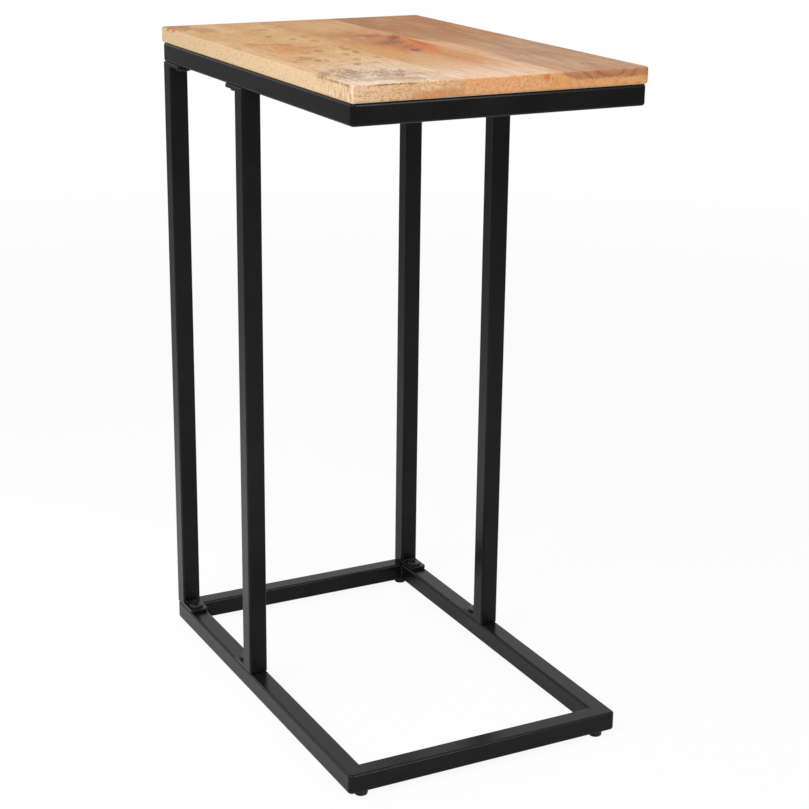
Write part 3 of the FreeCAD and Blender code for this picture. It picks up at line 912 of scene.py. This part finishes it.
def plate_edges():
    """Under each fixing plate, along the rail that carries it."""
    lines = []
    half = HALF_PLATE_BEAD
    for name in (n for n in nodes if n.startswith("fixing_plate")):
        low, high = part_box(name)
        middle = (low + high) / 2
        if "left" in name or "right" in name:
            x = low.x if "left" in name else high.x
            lines.append(((x, middle.y - half, low.z), (x, middle.y + half, low.z)))
        else:
            y = low.y if "front" in name else high.y
            lines.append(((middle.x - half, y, low.z), (middle.x + half, y, low.z)))
    return lines


# %% The beads
FRAME_BEAD = 2.0 * MM
LEG_BEAD = 1.75 * MM
PLATE_BEAD = 1.25 * MM

for weld, lines, radius in (
    ("base_frame_welds", frame_corners("base"), FRAME_BEAD),
    ("top_frame_welds", frame_corners("top"), FRAME_BEAD),
    ("leg_welds", leg_ends(), LEG_BEAD),
    ("fixing_welds", plate_edges(), PLATE_BEAD),
):
    piece = grown("beads_" + weld, seams(*lines), bead, Material=coat, Width=radius)
    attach(piece, "root")
    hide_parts(weld)

# %% [markdown]
# ## Threaded studs
#
# Each foot turns on a threaded stud, which screws in and out of a nut in the base rail. Its thread is
# a ridge that winds round a core, one millimetre up for each turn. A spiral curve with a small lozenge
# swept along it makes the ridge, half of it inside the core, and the core has a chamfer at its upper
# end, where the nut takes it up.


# %% The tree of a stud
STEPS_PER_TURN = 24
CORE_SIDES = 32
RIDGE_SHARE = 0.46    # half a ridge's height as a share of the pitch, so that neighbours just part


def stud_tree():
    """A stud on each point of a mesh, which stands upright with its foot on the point."""
    tree, r, given = new_tree(
        "threaded_stud", Radius=2.95 * MM, Pitch=1.0 * MM, Length=19.8 * MM, Depth=0.56 * MM)
    radius, pitch, depth = (given.also(n) for n in ("Radius", "Pitch", "Depth"))
    length = given.also("Length")
    core_radius = radius - depth
    chamfer = depth * 1.2
    spiral = r.node("GeometryNodeCurveSpiral", {}, {
        "Resolution": STEPS_PER_TURN, "Rotations": (length - chamfer * 2) / pitch,
        "Start Radius": core_radius, "End Radius": core_radius, "Height": length - chamfer * 2})
    spiral = r.node("GeometryNodeSetCurveNormal", {"mode": "Z_UP"}, {"Curve": spiral})
    lozenge = r.node(
        "GeometryNodeCurvePrimitiveCircle", {"mode": "RADIUS"}, {"Resolution": 4, "Radius": 1.0})
    flat = r.node("ShaderNodeCombineXYZ", {}, {"X": depth, "Y": pitch * RIDGE_SHARE, "Z": 1.0})
    lozenge = r.node("GeometryNodeTransform", {}, {"Geometry": lozenge, "Scale": flat})
    share = r.node("GeometryNodeSplineParameter", {}, {}, "Factor")
    run_out = share.rise(0.0, 0.03) * share.fall(0.97, 1.0)
    ridge = r.node("GeometryNodeCurveToMesh", {}, {
        "Curve": spiral, "Profile Curve": lozenge, "Scale": run_out * 0.9 + 0.1, "Fill Caps": True})
    lift = r.node("ShaderNodeCombineXYZ", {}, {"Z": chamfer})
    ridge = r.node("GeometryNodeTransform", {}, {"Geometry": ridge, "Translation": lift})
    core = r.node("GeometryNodeMeshCylinder", {}, {
        "Vertices": CORE_SIDES, "Radius": core_radius, "Depth": length - chamfer})
    middle = r.node("ShaderNodeCombineXYZ", {}, {"Z": (length - chamfer) / 2})
    core = r.node("GeometryNodeTransform", {}, {"Geometry": core, "Translation": middle})
    tip = r.node("GeometryNodeMeshCone", {}, {
        "Vertices": CORE_SIDES, "Radius Bottom": core_radius,
        "Radius Top": core_radius - chamfer * 0.7, "Depth": chamfer})
    top = r.node("ShaderNodeCombineXYZ", {}, {"Z": length - chamfer})
    tip = r.node("GeometryNodeTransform", {}, {"Geometry": tip, "Translation": top})
    whole = r.node("GeometryNodeJoinGeometry", {}, {"Geometry": [ridge, core, tip]})
    planted = r.node(
        "GeometryNodeInstanceOnPoints", {}, {"Points": given.also("Geometry"), "Instance": whole})
    end_tree(r, planted, given.also("Material"))
    return tree


# %% The studs
stud = stud_tree()
for row in ("rear", "front"):
    for side in ("left", "right"):
        node = f"foot_stud_{row}_{side}"
        low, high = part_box(node)
        foot = bpy.data.meshes.new(node)
        foot.from_pydata([((low.x + high.x) / 2, (low.y + high.y) / 2, low.z)], [], [])
        name = node.replace("foot_stud", "thread")
        radius, length = (high.x - low.x) / 2, high.z - low.z
        piece = grown(name, foot, stud, Material=zinc, Radius=radius, Length=length)
        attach(piece, f"{row}_{side}_stud")
        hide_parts(node)

# %% [markdown]
# ## The studio
#
# The table stands on a plain white floor that runs on to the horizon. The camera sees the floor and the
# sky white, and reflections show the sky white too, while the light on the table stays at a plain
# level, so that the wood's colours come out as they were mixed. A little of the floor's own shading is
# kept, and the table's soft shadow with it. From below, the floor lets the camera look through.
#
# Black steel shows its shape mostly by what it reflects, so each lamp has its own task. The key light,
# large and on the left, lights the wood and the left faces of the tubes. A tall narrow one in front
# draws the line of light on the rounded upper edge of the front rail. One overhead lights the upper
# faces, and a low one points straight down and keeps the floor on the left as white as the rest.
#
# The camera has a long lens, so that the uprights hardly converge. It stands to the left of the mouth
# and looks a little down, where the top, the three boards' ends and all four legs show.

# %% Camera
LENS = 82.59                              # mm, on a sensor 36 mm wide
SENSOR = 36.0
SHIFT = -0.018
STANDPOINT = (-0.838, -1.643, 0.9145)     # metres
CAMERA_TURN = (72.34, -0.67, -27.43)      # degrees
FARTHEST_SEEN = 50.0

camera_data = bpy.data.cameras.new("camera")
camera_data.lens = LENS
camera_data.sensor_width = SENSOR
camera_data.shift_y = SHIFT
camera_data.clip_end = FARTHEST_SEEN
camera = bpy.data.objects.new("camera", camera_data)
camera.location = STANDPOINT
camera.rotation_euler = [math.radians(a) for a in CAMERA_TURN]
bpy.context.scene.collection.objects.link(camera)
bpy.context.scene.camera = camera
print("camera", [round(v, 3) for v in camera.location])


# %% Seen directly or in a reflection
def seen_directly(recipe, by_camera, in_gloss):
    """One share for what the camera sees, one for gloss and glass, and 0 for light on other things."""
    camera_ray = recipe.node("ShaderNodeLightPath", {}, {}, "Is Camera Ray")
    gloss_ray = camera_ray.also("Is Glossy Ray").most(camera_ray.also("Is Transmission Ray"))
    return (camera_ray * by_camera).most(gloss_ray * in_gloss)


# %% Floor
FLOOR_REACH = 12.0              # metres from the middle to each side
SHADING_ENDS = (1.2, 3.5)       # metres from the table over which the floor's shading fades out
WHITE = (1, 1, 1, 1)
FLOOR_COLOUR = (0.97, 0.97, 0.97, 1)
SEEN_WHITE = 0.93               # the camera sees this share of plain white, and the rest is shading
GLOSS_WHITE = 0.03              # and a reflection this share


def floor_finish():
    material = bpy.data.materials.new("white_floor")
    material.use_nodes = True
    material.node_tree.nodes.clear()
    r = Recipe(material.node_tree)
    far = r.place().length().rise(*SHADING_ENDS)
    lit = r.node("ShaderNodeBsdfDiffuse", {}, {"Color": FLOOR_COLOUR})
    white = r.node("ShaderNodeEmission", {}, {"Color": WHITE, "Strength": 1.0})
    upper = r.node("ShaderNodeMixShader", {}, {
        0: seen_directly(r, far * (1 - SEEN_WHITE) + SEEN_WHITE, GLOSS_WHITE), 1: lit, 2: white})
    clear = r.node("ShaderNodeBsdfTransparent", {}, {"Color": WHITE})
    below = r.node("ShaderNodeNewGeometry", {}, {}, "Backfacing")
    both = r.node("ShaderNodeMixShader", {}, {0: below, 1: upper, 2: clear})
    r.node("ShaderNodeOutputMaterial", {}, {"Surface": both})
    return material


floor_mesh = bpy.data.meshes.new("floor")
corners = [(x * FLOOR_REACH, y * FLOOR_REACH, 0) for x, y in ((-1, -1), (1, -1), (1, 1), (-1, 1))]
floor_mesh.from_pydata(corners, [], [(0, 1, 2, 3)])
floor_mesh.materials.append(floor_finish())
floor = bpy.data.objects.new("floor", floor_mesh)
bpy.context.scene.collection.objects.link(floor)
print("floor", 2 * FLOOR_REACH, "m square")

# %% Sky
SKY_LEVEL = 0.25    # the light that the sky sheds on things, where the camera sees it as 1

world = bpy.data.worlds.new("studio")
world.use_nodes = True
world.node_tree.nodes.clear()
bpy.context.scene.world = world
r = Recipe(world.node_tree)
level = seen_directly(r, 1.0, 1.0) * (1 - SKY_LEVEL) + SKY_LEVEL
sky = r.node("ShaderNodeBackground", {}, {"Color": WHITE, "Strength": level})
r.node("ShaderNodeOutputWorld", {}, {"Surface": sky})
print("sky level", SKY_LEVEL)


# %% Softboxes
def softbox(name, place, aim, size, watts):
    """A rectangular lamp that looks from one place at another, and that the camera doesn't see."""
    data = bpy.data.lights.new(name, "AREA")
    data.shape = "RECTANGLE"
    data.size, data.size_y = size
    data.energy = watts
    lamp = bpy.data.objects.new(name, data)
    lamp.location = place
    lamp.rotation_euler = (Vector(aim) - Vector(place)).to_track_quat("-Z", "Y").to_euler()
    lamp.visible_camera = False
    bpy.context.scene.collection.objects.link(lamp)
    print(f"{name}: {watts} W at {place}")


softbox("key", place=(-1.4, -0.8, 1.65), aim=(0, 0, 0.5), size=(1.0, 1.0), watts=26)
softbox("front", place=(0.75, -1.8, 1.3), aim=(0, 0, 0.6), size=(0.3, 1.1), watts=10)
softbox("overhead", place=(0.5, 0.1, 2.3), aim=(0, 0, 0.6), size=(0.5, 0.5), watts=6)
softbox("floor_wash", place=(-0.62, 0.25, 0.42), aim=(-0.62, 0.25, 0), size=(0.5, 0.9), watts=2.5)
bpy.context.scene.view_settings.view_transform = "Standard"
